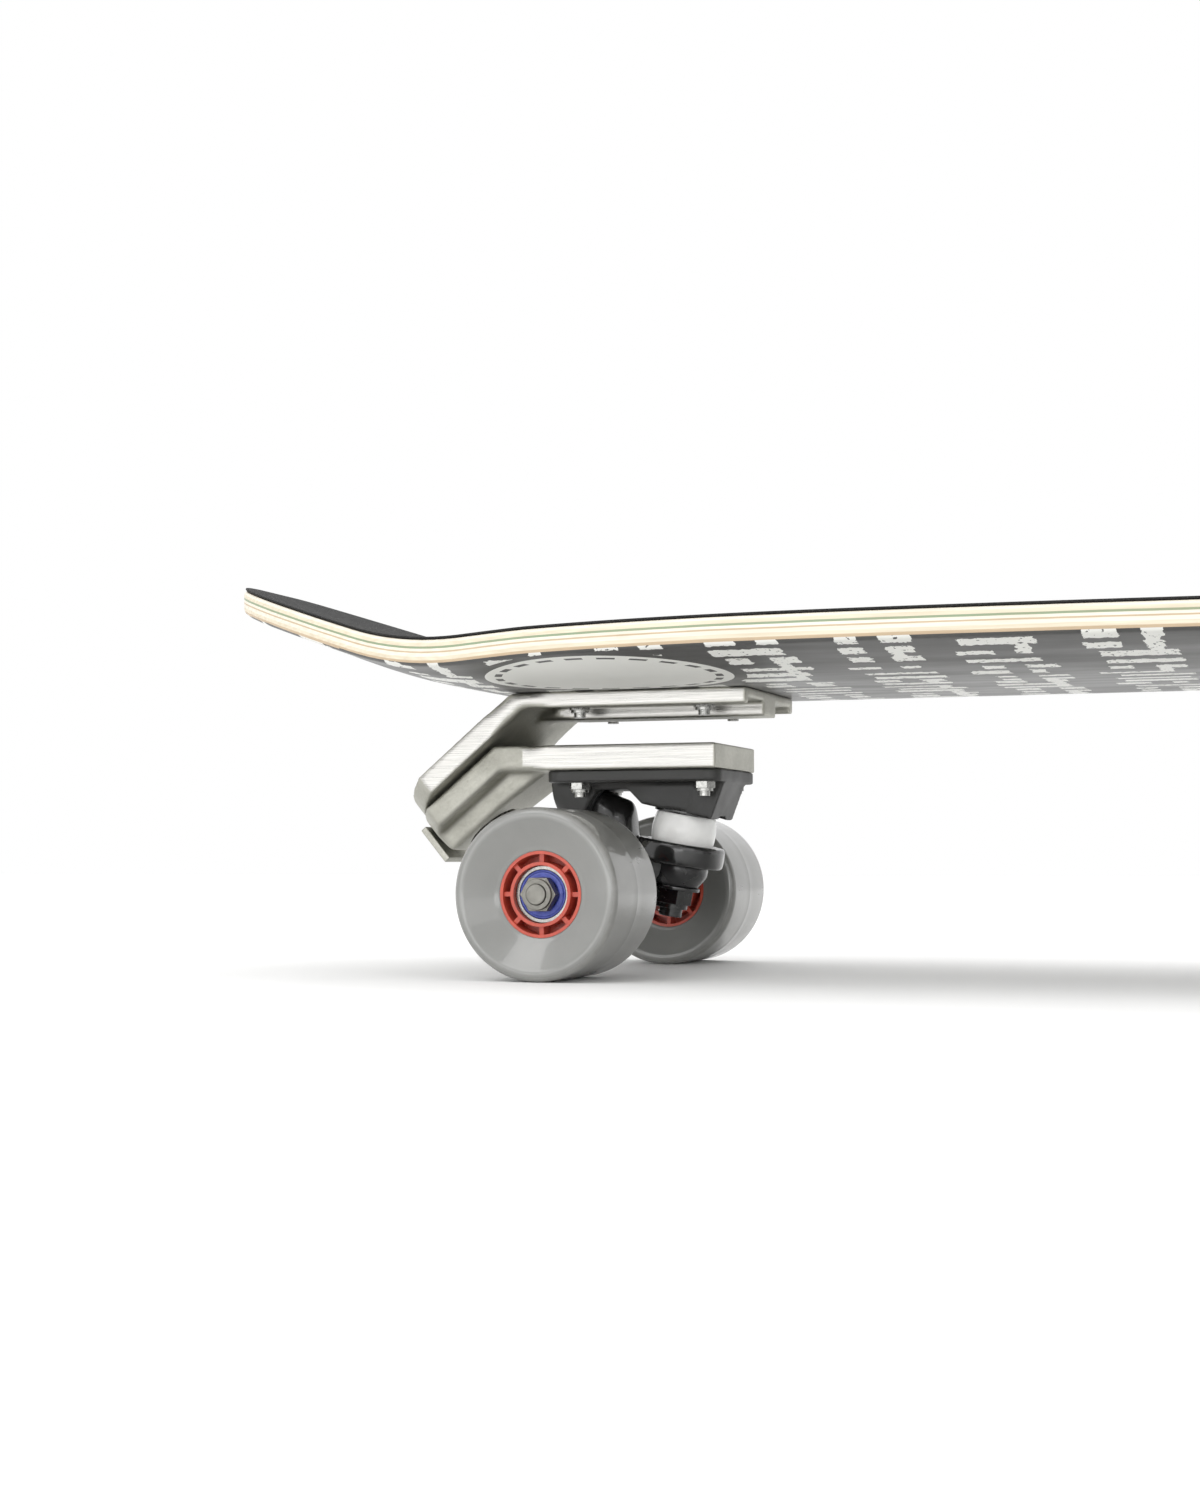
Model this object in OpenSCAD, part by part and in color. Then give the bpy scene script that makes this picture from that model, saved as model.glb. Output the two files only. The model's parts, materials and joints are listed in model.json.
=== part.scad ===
// Surf-style skateboard: kicked wooden deck, front truck on a swinging adapter, rear truck on a riser.
// Millimetres. +X is the nose, +Y the rider's left, +Z up, z = 0 is the floor.

/* [Deck] */
// Length from nose tip to tail tip
deck_length = 813; // [780:1:840]
// Greatest width
deck_width = 230; // [216:1:240]
// Thickness of the wood
deck_thickness = 10.5; // [9:0.5:12]
// Height of the rails above the flat middle
concave = 9; // [4:0.5:12]
// Slope of the nose and the tail
kick_angle = 20; // [14:1:24]
// Grip tape thickness
grip_thickness = 0.8; // [0.5:0.1:1.2]

/* [Trucks] */
// Front bolt pattern, centre to nose tip
nose_setback = 180; // [170:1:190]
// Rear bolt pattern, centre to tail tip
tail_setback = 165; // [155:1:175]
// Bolt spacing along the board
bolt_long = 53.98; // [53.5:0.01:54.5]
// Bolt spacing across the board
bolt_wide = 41.3; // [41:0.1:41.6]
// Height from the axle up to the truck's mounting face
axle_drop = 50; // [49:0.5:52]
// Distance between the wheels' middle planes
track = 155; // [150:1:160]

/* [Wheels] */
// Tread diameter
wheel_diameter = 66; // [62:1:68]
// Width over the lips
wheel_width = 50; // [46:1:52]

/* [Adapter] */
// Height from the truck's mounting face up to the deck
adapter_height = 32; // [31:0.5:34]
// Lean of the swing axis from upright
swing_lean = 40; // [39:0.5:41]
// Swing axis ahead of the bolt pattern, measured on the joint face
swing_ahead = 86; // [85:0.5:87]

/* [Hidden] */
$fn = 64;

wheel_r = wheel_diameter / 2;
mount_z = wheel_r + axle_drop;
deck_z = mount_z + adapter_height;
top_z = deck_z + deck_thickness;
front_x = deck_length / 2 - nose_setback;
rear_x = -deck_length / 2 + tail_setback;
half = deck_width / 2;

// Deck shell: stations along the board, points across it
stations = 40;
across = 12;
flat_half = 36;
kick_start = 45;
kick_radius = 150;

function clamp01(v) = min(1, max(0, v));
function end_shape(d, reach, power) = pow(1 - pow(1 - clamp01(max(d, 0.5) / reach), 2.2), power);
function waist(x) = 1 - 0.05 * (1 - cos(180 * clamp01((deck_length / 2 - 275 - x) / 300))) / 2;
function half_width(x) = half * waist(x)
  * end_shape(deck_length / 2 - x, 275, 0.345) * end_shape(deck_length / 2 + x, 235, 0.36);
function kick_rise(d) = d <= 0 ? 0
  : d < kick_radius * sin(kick_angle) ? kick_radius - sqrt(kick_radius * kick_radius - d * d)
  : kick_radius * (1 - cos(kick_angle)) + (d - kick_radius * sin(kick_angle)) * tan(kick_angle);
function rise(x) = kick_rise(x - front_x - kick_start) + kick_rise(rear_x - kick_start - x);
function dish_fade(x) = 1 - 0.7 * clamp01((abs(x) - 245) / 160);
function dish(x, y) = concave * dish_fade(x) * pow(max(0, abs(y) - flat_half) / (half - flat_half), 2);
function station_x(i) = -deck_length / 2 * cos(180 * i / stations);
function shell_point(i, j, z) = let (x = station_x(i), y = half_width(x) * (2 * j / across - 1))
  [x, y, z + rise(x) + dish(x, y)];
row = across + 1;
count = (stations + 1) * row;

module curved_sheet(z_low, thickness) {
  points = concat(
    [for (i = [0:stations], j = [0:across]) shell_point(i, j, z_low)],
    [for (i = [0:stations], j = [0:across]) shell_point(i, j, z_low + thickness)]);
  faces = concat(
    [for (i = [0:stations - 1], j = [0:across - 1]) let (a = i * row + j) [a, a + row, a + row + 1]],
    [for (i = [0:stations - 1], j = [0:across - 1]) let (a = i * row + j) [a, a + row + 1, a + 1]],
    [for (i = [0:stations - 1], j = [0:across - 1]) let (a = count + i * row + j) [a, a + row + 1, a + row]],
    [for (i = [0:stations - 1], j = [0:across - 1]) let (a = count + i * row + j) [a, a + 1, a + row + 1]],
    [for (i = [0:stations - 1]) let (a = i * row) [a, a + count, a + count + row]],
    [for (i = [0:stations - 1]) let (a = i * row) [a, a + count + row, a + row]],
    [for (i = [0:stations - 1]) let (a = i * row + across) [a, a + row, a + row + count]],
    [for (i = [0:stations - 1]) let (a = i * row + across) [a, a + row + count, a + count]],
    [for (j = [0:across - 1]) [j, j + 1, j + 1 + count]],
    [for (j = [0:across - 1]) [j, j + 1 + count, j + count]],
    [for (j = [0:across - 1]) let (a = stations * row + j) [a, a + count + 1, a + 1]],
    [for (j = [0:across - 1]) let (a = stations * row + j) [a, a + count, a + count + 1]]);
  polyhedron(points, faces);
}

// Bolts and nuts
bolt_r = 2.4;
hole_r = 2.7;
head_r = 4.6;
head_h = 2.8;
nut_h = 4;

module four_bolts() {
  for (x = [-1, 1], y = [-1, 1])
    translate([x * bolt_long / 2, y * bolt_wide / 2, 0]) children();
}

module flush_bolt(z_top, z_end) {
  difference() {
    union() {
      translate([0, 0, z_top - head_h]) cylinder(h = head_h, r1 = bolt_r, r2 = head_r);
      translate([0, 0, z_end]) cylinder(h = z_top - head_h - z_end + 0.01, r = bolt_r);
    }
    translate([0, 0, z_top - 1.6]) cylinder(h = 2, r = 1.6, $fn = 6);
  }
}

module lock_nut(z_top) {
  difference() {
    union() {
      translate([0, 0, z_top - nut_h + 1.2]) cylinder(h = nut_h - 1.2, r = 4.6, $fn = 6);
      translate([0, 0, z_top - nut_h]) cylinder(h = 1.3, r = 3.7);
    }
    translate([0, 0, z_top - nut_h - 1]) cylinder(h = nut_h + 2, r = bolt_r);
  }
}

module deck() {
  color([0.80, 0.68, 0.48])
  difference() {
    curved_sheet(deck_z, deck_thickness);
    for (x = [front_x, rear_x]) translate([x, 0, 0]) four_bolts() {
      translate([0, 0, deck_z - 1]) cylinder(h = deck_thickness + 2, r = hole_r);
      translate([0, 0, top_z + grip_thickness - head_h])
        cylinder(h = head_h, r1 = hole_r, r2 = head_r + 0.3);
    }
  }
}

module grip_tape() {
  color([0.06, 0.06, 0.06])
  difference() {
    curved_sheet(top_z, grip_thickness);
    for (x = [front_x, rear_x]) translate([x, 0, 0]) four_bolts()
      translate([0, 0, top_z - 1]) cylinder(h = grip_thickness + 2, r = head_r + 0.3);
  }
}

// Adapter, seen from the side: the joint face runs down towards the nose at right angles to the swing axis.
// Heights are above the truck's mounting face, lengths are ahead of the bolt pattern's centre.
pivot_z = -8.6;
face_gap = 0.6;
face_front = 20;
nose_back = 27;
swing_r = 5;
swing_hole = swing_r + 0.05;

plate_back = 49;
plate_half = 36;
plate_skin = 4;
plate_rim = 6.5;
plate_spine = 10;
slab = 9.5;
plate_nose_r = 46;

arm_back = 34;
arm_half = 29;
web = 5;
wall_top = 10.5;
band = 10.5;
keel_half = 18;
arm_depth = 19;
arm_nose_r = 47;
seat_depth = 11.3;

// Point t along the joint face and n above it, from the swing axis, in the side view of the arm
function on_face(t, n) = [swing_ahead + t * cos(swing_lean) + n * sin(swing_lean),
  pivot_z - t * sin(swing_lean) + n * cos(swing_lean)];
// Where the line n above the joint face crosses height z
function face_at(n, z) = on_face((pivot_z + n * cos(swing_lean) - z) / sin(swing_lean), n);

module at_front() {
  translate([front_x, 0, mount_z]) children();
}

module at_rear() {
  translate([rear_x, 0, mount_z]) rotate([0, 0, 180]) children();
}

module at_swing() {
  at_front() translate([swing_ahead, 0, pivot_z]) rotate([0, swing_lean, 0]) children();
}

module side_slab(outline, width) {
  rotate([90, 0, 0]) translate([0, 0, -width / 2]) linear_extrude(width) polygon(outline);
}

module rounded_nose(radius) {
  at_front() translate([-60, -50, -20]) cube([110, 100, 80]);
  at_swing() translate([-nose_back, 0, -60]) cylinder(h = 120, r = radius);
}

module upper_plate() {
  top = adapter_height;
  skin = top - plate_skin;
  rim = top - plate_rim;
  deep = top - plate_spine;
  color([0.72, 0.71, 0.69])
  difference() {
    intersection() {
      union() {
        at_front() side_slab([[-plate_back, top], [46, top], [46, skin], [-plate_back, skin]],
          2 * plate_half);
        for (y = [-1, 1]) at_front() translate([0, y * (plate_half - 2), 0])
          side_slab([[-plate_back, skin + 0.1], [46, skin + 0.1], [46, rim], [-plate_back, rim]], 4);
        at_front() side_slab([[-plate_back, skin + 0.1], [50, skin + 0.1], face_at(face_gap, deep),
          [-plate_back, deep]], 18);
        at_front() side_slab([[42, top], face_at(slab, top), on_face(face_front - 1, slab),
          on_face(face_front - 1, face_gap), face_at(face_gap, rim), [42, rim]], 2 * plate_half);
      }
      rounded_nose(plate_nose_r);
    }
    at_front() four_bolts() cylinder(h = 60, r = hole_r);
    for (y = [-1, 1]) at_front() translate([-bolt_long / 2 - 9.5, y * bolt_wide / 2, 0])
      cylinder(h = 60, r = hole_r);
    at_swing() translate([0, 0, -5]) cylinder(h = 40, r = swing_hole);
    at_swing() translate([0, 0, slab - 5]) cylinder(h = 12, r = 9.2);
    for (y = [-1, 1]) at_swing() translate([-34, y * 20.5 - 7, face_gap + 4.5]) cube([30, 14, 12]);
  }
}

module swing_arm() {
  color([0.74, 0.73, 0.70])
  difference() {
    intersection() {
      union() {
        at_front() side_slab([[-arm_back, 0], [-arm_back, wall_top], face_at(-face_gap, wall_top),
          on_face(face_front, -face_gap), on_face(face_front, -band), face_at(-band, 0)], 2 * arm_half);
        at_front() side_slab([[43, 0], [60, 3], on_face(face_front - 2, -band + 2),
          on_face(face_front - 4, -arm_depth), on_face(-12, -arm_depth)], 2 * keel_half);
      }
      rounded_nose(arm_nose_r);
    }
    at_front() translate([2.4 - arm_back, 3 - arm_half, web]) cube([80, 2 * arm_half - 6, 20]);
    at_front() four_bolts() translate([0, 0, -1]) cylinder(h = 20, r = hole_r);
    at_swing() translate([0, 0, -30]) cylinder(h = 40, r = swing_hole);
    at_swing() translate([0, 0, -arm_depth - 10]) cylinder(h = arm_depth + 10 - seat_depth, r = 11.5);
  }
}

module arm_end_plate() {
  color([0.72, 0.71, 0.69])
  at_swing() translate([face_front, -13, -arm_depth]) cube([3, 26, arm_depth - 2 * face_gap]);
}

module swing_bolt() {
  color([0.55, 0.55, 0.55])
  at_swing() difference() {
    union() {
      translate([0, 0, slab - 5]) cylinder(h = 5, r = 9);
      translate([0, 0, -24]) cylinder(h = 24 + slab - 4.9, r = swing_r);
    }
    translate([0, 0, slab - 3]) cylinder(h = 4, r = 4.6, $fn = 6);
  }
}

module swing_bearing() {
  color([0.45, 0.45, 0.45])
  at_swing() translate([0, 0, -0.4]) washer(face_gap + 0.4, 16, swing_r + 0.1);
}

module swing_washer() {
  color([0.75, 0.75, 0.75])
  at_swing() translate([0, 0, -13]) washer(12.8 - seat_depth, 10, swing_hole);
}

module swing_nut() {
  color([0.75, 0.75, 0.75])
  at_swing() translate([0, 0, -21]) difference() {
    union() {
      translate([0, 0, 2]) cylinder(h = 6, r = 9.8, $fn = 6);
      cylinder(h = 2.1, r = 7.6);
    }
    translate([0, 0, -1]) cylinder(h = 12, r = swing_r);
  }
}

module front_deck_bolts() {
  color([0.60, 0.60, 0.60])
  translate([front_x, 0, 0]) four_bolts() flush_bolt(top_z + grip_thickness, deck_z - 10);
}

module front_deck_nuts() {
  color([0.80, 0.80, 0.80])
  translate([front_x, 0, 0]) four_bolts() lock_nut(deck_z - 4);
}

module front_truck_bolts() {
  color([0.60, 0.60, 0.60])
  at_front() four_bolts() difference() {
    union() {
      translate([0, 0, -11]) cylinder(h = 11 + web + 0.1, r = bolt_r);
      translate([0, 0, web]) cylinder(h = 3, r = 4.2);
    }
    translate([0, 0, web + 1.4]) cylinder(h = 2, r = 1.7, $fn = 6);
  }
}

module front_truck_nuts() {
  color([0.80, 0.80, 0.80])
  at_front() four_bolts() lock_nut(-flange);
}

module rear_riser() {
  color([0.08, 0.08, 0.08])
  at_rear() difference() {
    translate([-41, -28, 0]) cube([82, 56, adapter_height]);
    four_bolts() translate([0, 0, -1]) cylinder(h = adapter_height + 2, r = hole_r);
    translate([0, 0, -1]) cylinder(h = adapter_height + 2, r = 11);
    for (x = [-34, 20]) translate([x, -9, 6]) cube([14, 18, adapter_height]);
  }
}

module rear_bolts() {
  color([0.60, 0.60, 0.60])
  translate([rear_x, 0, 0]) four_bolts() flush_bolt(top_z + grip_thickness, mount_z - 11);
}

module rear_nuts() {
  color([0.80, 0.80, 0.80])
  at_rear() four_bolts() lock_nut(-flange);
}

// Truck, seen from the side with its mounting face at z = 0, hanging down, pivot towards the board's end.
// Values along the kingpin are measured from the middle of the hanger's ring.
flange = 5;
flange_front = 40;
flange_back = 35;
flange_half = 28;
flange_corner = 6;
axle_ahead = 15;
pivot_p = [30, -10];
ring_p = [-10, -34];
steer_tilt = atan2(ring_p.y - pivot_p.y, ring_p.x - pivot_p.x);
cup_r = 9;
cup_end = 5.5;
nose_r = 6.5;
king_lean = 10;
king_r = 4.76;
king_hole = king_r + 0.04;
seat_up = 18;
king_head = 26.5;
ring_half = 4.5;
ring_r = 18.5;
ring_bore = 6.6;
ring_seat = 2.5;
bushing_r = 13;
lower_seat_r = 12.3;
washer_h = 1.5;
lower_end = 13.5;
king_end = 26.5;
bar_r = 9.8;
bar_end_r = 7.8;
axle_r = 4;
hub_gap = 16.3;
hanger_half = track / 2 - hub_gap;
axle_reach = 23.2;

module along_pivot() {
  translate([pivot_p.x, 0, pivot_p.y]) rotate([0, 90 - steer_tilt, 0]) children();
}

module along_king() {
  translate([ring_p.x, 0, ring_p.y]) rotate([0, -king_lean, 0]) children();
}

module along_axle() {
  translate([axle_ahead, 0, -axle_drop]) rotate([90, 0, 0]) children();
}

module washer(height, outer, inner) {
  difference() {
    cylinder(h = height, r = outer);
    translate([0, 0, -1]) cylinder(h = height + 2, r = inner);
  }
}

module flange_plate() {
  corner_x = [flange_corner - flange_back, flange_front - flange_corner];
  corner_y = flange_half - flange_corner;
  translate([corner_x[0], -flange_half, 0]) cube([corner_x[1] - corner_x[0], 2 * flange_half, flange]);
  translate([-flange_back, -corner_y, 0]) cube([flange_back + flange_front, 2 * corner_y, flange]);
  for (x = corner_x, y = [-corner_y, corner_y]) translate([x, y, 0]) cylinder(h = flange, r = flange_corner);
}

module baseplate() {
  sunk = 0.5 - flange;
  color([0.10, 0.10, 0.10])
  difference() {
    union() {
      translate([0, 0, -flange]) flange_plate();
      side_slab([[-flange_back + 1, sunk], [-28, -20.4], [2, -13.7], [8, -7.5], [24, -7.5], [24, sunk]], 31);
      intersection() {
        along_pivot() translate([0, 0, -16]) cylinder(h = 21, r = cup_r + 3.5);
        translate([0, -20, -60]) cube([flange_front + 3, 40, 60]);
      }
    }
    four_bolts() translate([0, 0, -flange - 1]) cylinder(h = flange + 2, r = hole_r);
    along_pivot() translate([0, 0, -cup_r]) cylinder(h = 30, r = cup_r);
    along_king() cylinder(h = 60, r = king_hole);
    along_king() cylinder(h = seat_up, r = bushing_r + 3);
    along_king() translate([0, 0, king_head]) cylinder(h = 30, r = 8.8);
  }
}

module pivot_cup() {
  color([0.05, 0.05, 0.05])
  difference() {
    along_pivot() translate([0, 0, -cup_r]) cylinder(h = cup_r + cup_end, r = cup_r);
    along_pivot() translate([0, 0, -6.3]) cylinder(h = 14.5, r = nose_r + 0.08);
    translate([0, -20, -0.5]) cube([60, 40, 20]);
  }
}

module kingpin() {
  color([0.14, 0.14, 0.14])
  along_king() {
    translate([0, 0, -king_end]) cylinder(h = king_end + king_head + 0.1, r = king_r);
    translate([0, 0, king_head]) cylinder(h = 5.5, r = 8.2, $fn = 6);
  }
}

module washer_top() {
  color([0.14, 0.14, 0.14])
  along_king() translate([0, 0, seat_up - washer_h]) washer(washer_h, bushing_r + 0.5, king_hole);
}

module washer_bottom() {
  color([0.14, 0.14, 0.14])
  along_king() translate([0, 0, -lower_end - washer_h]) washer(washer_h, 10.5, king_hole);
}

module bushing_top() {
  color([0.92, 0.92, 0.90])
  along_king() translate([0, 0, ring_seat]) washer(seat_up - washer_h - ring_seat, bushing_r, king_hole);
}

module bushing_bottom() {
  color([0.10, 0.10, 0.10])
  along_king() translate([0, 0, -lower_end]) difference() {
    cylinder(h = lower_end - ring_seat, r1 = 9.8, r2 = lower_seat_r);
    translate([0, 0, -1]) cylinder(h = 20, r = king_hole);
  }
}

module kingpin_nut() {
  color([0.14, 0.14, 0.14])
  along_king() translate([0, 0, -23]) difference() {
    union() {
      translate([0, 0, 2]) cylinder(h = 6, r = 8.2, $fn = 6);
      cylinder(h = 2.1, r = 6.6);
    }
    translate([0, 0, -1]) cylinder(h = 12, r = king_r);
  }
}

module hanger() {
  neck_half = ring_half - 0.4;
  color([0.05, 0.05, 0.05])
  difference() {
    union() {
      along_axle() rotate_extrude() polygon([[0, -hanger_half], [bar_end_r, -hanger_half], [bar_r, -16],
        [bar_r, 16], [bar_end_r, hanger_half], [0, hanger_half]]);
      along_king() translate([0, 0, -ring_half]) cylinder(h = 2 * ring_half, r = ring_r);
      hull() {
        along_king() translate([6, 0, -neck_half]) cylinder(h = 2 * neck_half, r = 11.7, $fn = 32);
        along_axle() translate([0, 0, -24]) cylinder(h = 48, r = 6.4, $fn = 24);
      }
      hull() {
        along_pivot() translate([0, 0, 14.5]) cylinder(h = 4, r = 8.2, $fn = 32);
        along_axle() translate([0, 0, -13]) cylinder(h = 26, r = 7.3, $fn = 24);
      }
      along_pivot() rotate_extrude() polygon(concat([[0, 0.6 - nose_r]],
        [for (q = [15:15:90]) [nose_r * sin(q), 0.6 - nose_r * cos(q)]],
        [[nose_r, 7], [7.6, 16], [0, 16]]));
    }
    along_king() translate([0, 0, -40]) cylinder(h = 80, r = ring_bore);
    along_king() translate([0, 0, ring_seat]) cylinder(h = 40, r = bushing_r + 0.4);
    along_king() translate([0, 0, -40 - ring_seat]) cylinder(h = 40, r = lower_seat_r + 0.4);
    along_axle() translate([0, 0, -track]) cylinder(h = 2 * track, r = axle_r);
  }
}

module axle() {
  color([0.60, 0.60, 0.58])
  along_axle() translate([0, 0, -track / 2 - axle_reach]) cylinder(h = track + 2 * axle_reach, r = axle_r);
}

module on_hubs() {
  for (side = [-1, 1]) along_axle() translate([0, 0, side * track / 2]) children();
}

module axle_washers() {
  color([0.75, 0.75, 0.75])
  on_hubs() for (z = [-hub_gap, hub_gap - 0.8]) translate([0, 0, z]) washer(0.8, 5.6, axle_r + 0.05);
}

module axle_nuts() {
  inner_face = track / 2 + hub_gap;
  color([0.50, 0.50, 0.48])
  for (turn = [0, 180]) along_axle() rotate([turn, 0, 0]) translate([0, 0, inner_face]) difference() {
    union() {
      cylinder(h = 6, r = 5.9);
      cylinder(h = 4.4, r = 7.3, $fn = 6);
    }
    translate([0, 0, -2]) cylinder(h = 10, r = axle_r);
  }
}

module bearing_inners() {
  color([0.70, 0.70, 0.70])
  on_hubs() for (z = [-1, 1]) translate([0, 0, z * bearing_mid - bearing_h / 2])
    washer(bearing_h, 5.8, axle_r + 0.02);
}

// Wheel, turning about Z before it is placed
core_r = 16.5;
core_half = 18;
window_in = 12.3;
window_out = 15.3;
spoke_top = 16.6;
spoke = 1.8;
bearing_r = 11;
bearing_h = 7;
bearing_mid = 12;
race_r = 9.3;
lip_r = 3;
wheel_half = wheel_width / 2;
dish_slope = 25;

function lip_point(q, end) = [wheel_r - lip_r + lip_r * sin(q), end * (wheel_half - lip_r + lip_r * cos(q))];

module tyre() {
  color([0.58, 0.58, 0.56])
  rotate_extrude() polygon(concat(
    [[core_r, -core_half], [core_r + 1.2, -core_half - 0.4]],
    [for (q = [-dish_slope:23:90]) lip_point(q, -1)],
    [for (q = [90:-23:-dish_slope]) lip_point(q, 1)],
    [[core_r + 1.2, core_half + 0.4], [core_r, core_half]]));
}

module window_ring(floor_z) {
  difference() {
    translate([0, 0, floor_z]) cylinder(h = 20, r = window_out);
    translate([0, 0, floor_z - 1]) cylinder(h = 22, r = window_in);
  }
}

module core() {
  floor_z = bearing_mid - bearing_h / 2;
  color([0.74, 0.37, 0.33])
  difference() {
    translate([0, 0, -core_half]) cylinder(h = 2 * core_half, r = core_r);
    translate([0, 0, -core_half - 1]) cylinder(h = 2 * core_half + 2, r = bearing_r - 2);
    for (side = [0, 180]) rotate([side, 0, 0]) {
      translate([0, 0, floor_z]) cylinder(h = 20, r = bearing_r);
      window_ring(spoke_top);
      difference() {
        window_ring(floor_z + 1);
        for (k = [0:3]) rotate([0, 0, 45 * k]) translate([-20, -spoke / 2, floor_z])
          cube([40, spoke, spoke_top - floor_z + 0.1]);
      }
    }
  }
}

module bearings() {
  color([0.78, 0.78, 0.78])
  for (z = [-1, 1]) translate([0, 0, z * bearing_mid - bearing_h / 2]) washer(bearing_h, bearing_r, race_r);
}

module shields() {
  color([0.30, 0.32, 0.62])
  for (z = [-15.2, -9.2, 8.8, 14.8]) translate([0, 0, z]) washer(0.4, race_r, 6.1);
}

module wheel_place(front, side) {
  if (front) at_front() along_axle() translate([0, 0, -side * track / 2]) children();
  else at_rear() along_axle() translate([0, 0, side * track / 2]) children();
}

module front_baseplate() { at_front() baseplate(); }
module front_pivot_cup() { at_front() pivot_cup(); }
module front_kingpin() { at_front() kingpin(); }
module front_washer_top() { at_front() washer_top(); }
module front_washer_bottom() { at_front() washer_bottom(); }
module front_bushing_top() { at_front() bushing_top(); }
module front_bushing_bottom() { at_front() bushing_bottom(); }
module front_kingpin_nut() { at_front() kingpin_nut(); }
module front_hanger() { at_front() hanger(); }
module front_axle() { at_front() axle(); }
module front_axle_washers() { at_front() axle_washers(); }
module front_axle_nuts() { at_front() axle_nuts(); }
module front_bearing_inners() { at_front() bearing_inners(); }

module rear_baseplate() { at_rear() baseplate(); }
module rear_pivot_cup() { at_rear() pivot_cup(); }
module rear_kingpin() { at_rear() kingpin(); }
module rear_washer_top() { at_rear() washer_top(); }
module rear_washer_bottom() { at_rear() washer_bottom(); }
module rear_bushing_top() { at_rear() bushing_top(); }
module rear_bushing_bottom() { at_rear() bushing_bottom(); }
module rear_kingpin_nut() { at_rear() kingpin_nut(); }
module rear_hanger() { at_rear() hanger(); }
module rear_axle() { at_rear() axle(); }
module rear_axle_washers() { at_rear() axle_washers(); }
module rear_axle_nuts() { at_rear() axle_nuts(); }
module rear_bearing_inners() { at_rear() bearing_inners(); }

module wheel_fl_tyre() { wheel_place(true, 1) tyre(); }
module wheel_fl_core() { wheel_place(true, 1) core(); }
module wheel_fl_bearings() { wheel_place(true, 1) bearings(); }
module wheel_fl_shields() { wheel_place(true, 1) shields(); }
module wheel_fr_tyre() { wheel_place(true, -1) tyre(); }
module wheel_fr_core() { wheel_place(true, -1) core(); }
module wheel_fr_bearings() { wheel_place(true, -1) bearings(); }
module wheel_fr_shields() { wheel_place(true, -1) shields(); }
module wheel_rl_tyre() { wheel_place(false, 1) tyre(); }
module wheel_rl_core() { wheel_place(false, 1) core(); }
module wheel_rl_bearings() { wheel_place(false, 1) bearings(); }
module wheel_rl_shields() { wheel_place(false, 1) shields(); }
module wheel_rr_tyre() { wheel_place(false, -1) tyre(); }
module wheel_rr_core() { wheel_place(false, -1) core(); }
module wheel_rr_bearings() { wheel_place(false, -1) bearings(); }
module wheel_rr_shields() { wheel_place(false, -1) shields(); }

deck();
grip_tape();
upper_plate();
front_deck_bolts();
front_deck_nuts();
swing_bolt();
swing_bearing();
swing_washer();
swing_nut();
rear_riser();
rear_bolts();
rear_nuts();
rear_baseplate();
rear_pivot_cup();
rear_kingpin();
rear_washer_top();
rear_washer_bottom();
rear_bushing_top();
rear_bushing_bottom();
rear_kingpin_nut();
swing_arm();
arm_end_plate();
front_truck_bolts();
front_truck_nuts();
front_baseplate();
front_pivot_cup();
front_kingpin();
front_washer_top();
front_washer_bottom();
front_bushing_top();
front_bushing_bottom();
front_kingpin_nut();
front_hanger();
front_axle();
front_axle_washers();
front_axle_nuts();
front_bearing_inners();
rear_hanger();
rear_axle();
rear_axle_washers();
rear_axle_nuts();
rear_bearing_inners();
wheel_fl_tyre();
wheel_fl_core();
wheel_fl_bearings();
wheel_fl_shields();
wheel_fr_tyre();
wheel_fr_core();
wheel_fr_bearings();
wheel_fr_shields();
wheel_rl_tyre();
wheel_rl_core();
wheel_rl_bearings();
wheel_rl_shields();
wheel_rr_tyre();
wheel_rr_core();
wheel_rr_bearings();
wheel_rr_shields();
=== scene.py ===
"""A surf-style skateboard: materials, finer meshes, floor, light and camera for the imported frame.

Lengths are in metres, apart from profiles and the numbers that a comment gives in millimetres.
"""

import json
import math

import bmesh
import bpy
import numpy as np
from mathutils import Matrix, Vector


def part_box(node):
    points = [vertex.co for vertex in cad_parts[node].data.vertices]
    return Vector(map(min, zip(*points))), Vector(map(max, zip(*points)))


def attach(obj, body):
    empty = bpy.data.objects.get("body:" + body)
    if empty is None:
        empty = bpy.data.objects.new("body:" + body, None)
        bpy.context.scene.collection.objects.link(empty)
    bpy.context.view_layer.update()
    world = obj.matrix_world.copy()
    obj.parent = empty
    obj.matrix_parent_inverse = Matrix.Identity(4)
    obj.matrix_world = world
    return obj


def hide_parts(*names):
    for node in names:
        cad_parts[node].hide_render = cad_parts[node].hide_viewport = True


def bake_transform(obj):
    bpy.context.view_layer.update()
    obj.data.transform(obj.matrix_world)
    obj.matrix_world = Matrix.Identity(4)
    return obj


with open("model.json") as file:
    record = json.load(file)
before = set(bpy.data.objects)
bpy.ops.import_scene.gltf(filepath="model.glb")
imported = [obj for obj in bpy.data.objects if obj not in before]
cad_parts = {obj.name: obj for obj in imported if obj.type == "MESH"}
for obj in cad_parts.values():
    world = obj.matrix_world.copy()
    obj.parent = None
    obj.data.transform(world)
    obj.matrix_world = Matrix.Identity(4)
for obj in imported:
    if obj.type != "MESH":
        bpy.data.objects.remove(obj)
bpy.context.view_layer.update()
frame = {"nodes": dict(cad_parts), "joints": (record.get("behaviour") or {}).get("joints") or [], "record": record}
MM = 0.001
SLOT_OF = {s["node"]: s["material_slot"] for s in frame["record"]["subparts"]}
JOINTS = {j["name"]: j for j in frame["joints"]}


# ---------------------------------------------------------------- places from the frame

def centre(node):
    low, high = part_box(node)
    return (low + high) / 2


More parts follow.
